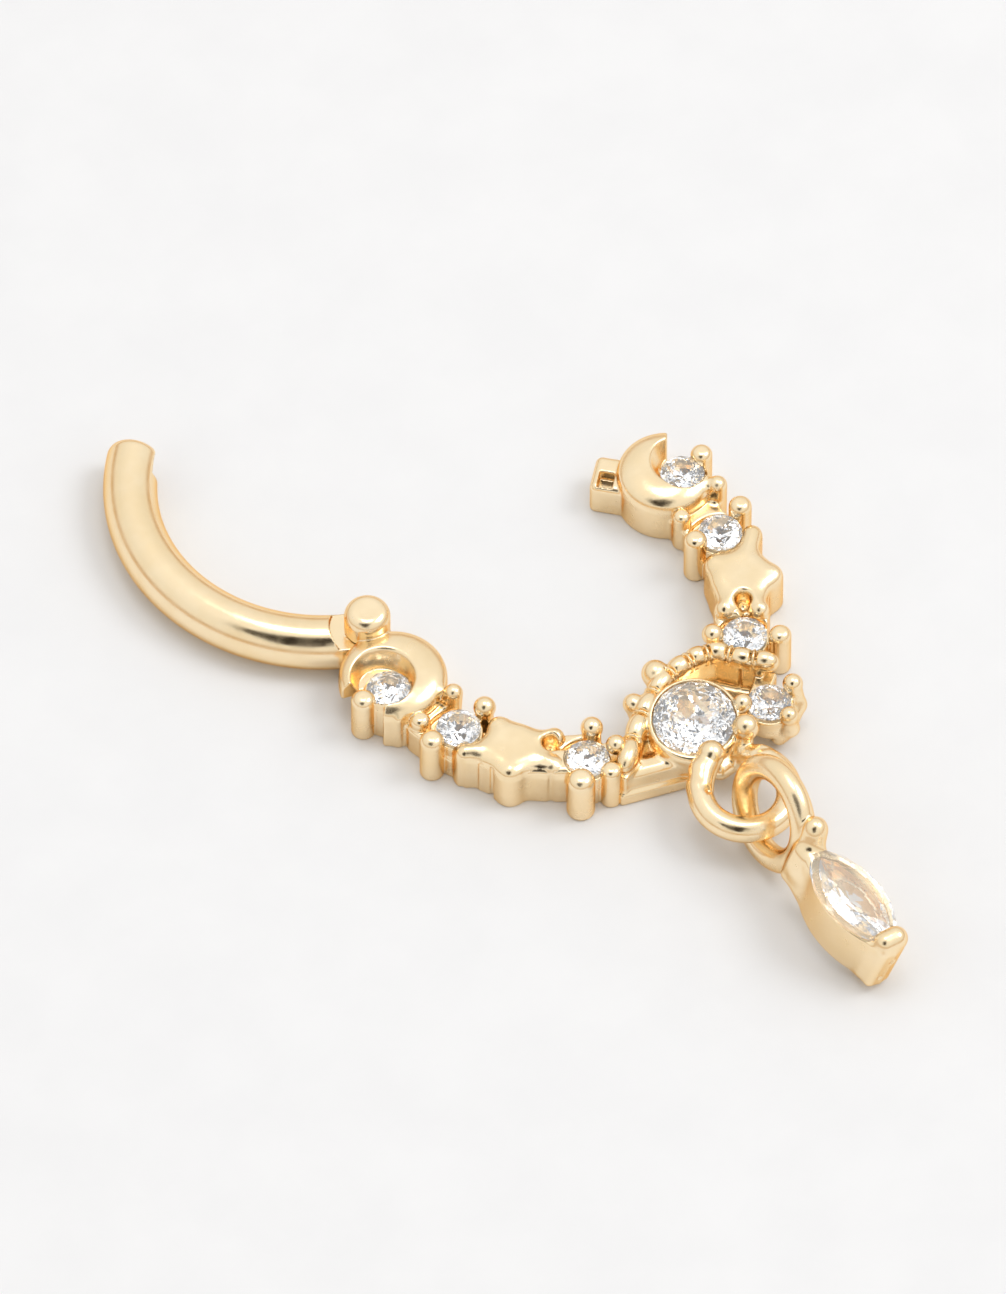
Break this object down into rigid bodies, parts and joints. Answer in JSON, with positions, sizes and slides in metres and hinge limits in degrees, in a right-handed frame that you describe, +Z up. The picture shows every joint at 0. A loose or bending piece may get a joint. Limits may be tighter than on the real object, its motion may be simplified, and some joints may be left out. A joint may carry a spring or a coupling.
{
  "type": "clicker ring",
  "caption": "Hinged clicker ring lying open: plain round bar, cast half with crescent moons, stars and round stones, and a marquise stone drop.",
  "frame": {"origin": "centre of the bottom of the box of the open piece as it lies on a table", "axes": "+Z up, +Y the long way, from the drop towards the tip of the open bar; the hinge is on the -X side"},
  "size_m": [0.0154, 0.0297, 0.0036],
  "materials": {
    "gold": "polished yellow gold plating",
    "gem": "clear faceted cubic zirconia, polished"
  },
  "bodies": {
    "front": {"front_frame": "gold", "hinge_pin": "gold", "moon_stone_left": "gem", "moon_stone_right": "gem", "upper_stone_left": "gem", "upper_stone_right": "gem", "lower_stone_left": "gem", "lower_stone_right": "gem", "centre_stone": "gem", "side_stone": "gem", "drop_setting": "gold", "drop_stone": "gem"},
    "bar": {"plain_bar": "gold"}
  },
  "joints": [
    {"name": "bar_hinge", "type": "hinge", "parent": "front", "child": "bar", "pos_m": [-0.00401, 0.00454, 0.0008], "axis": [0, 0, 1], "range_deg": [-95, 2]}
  ]
}
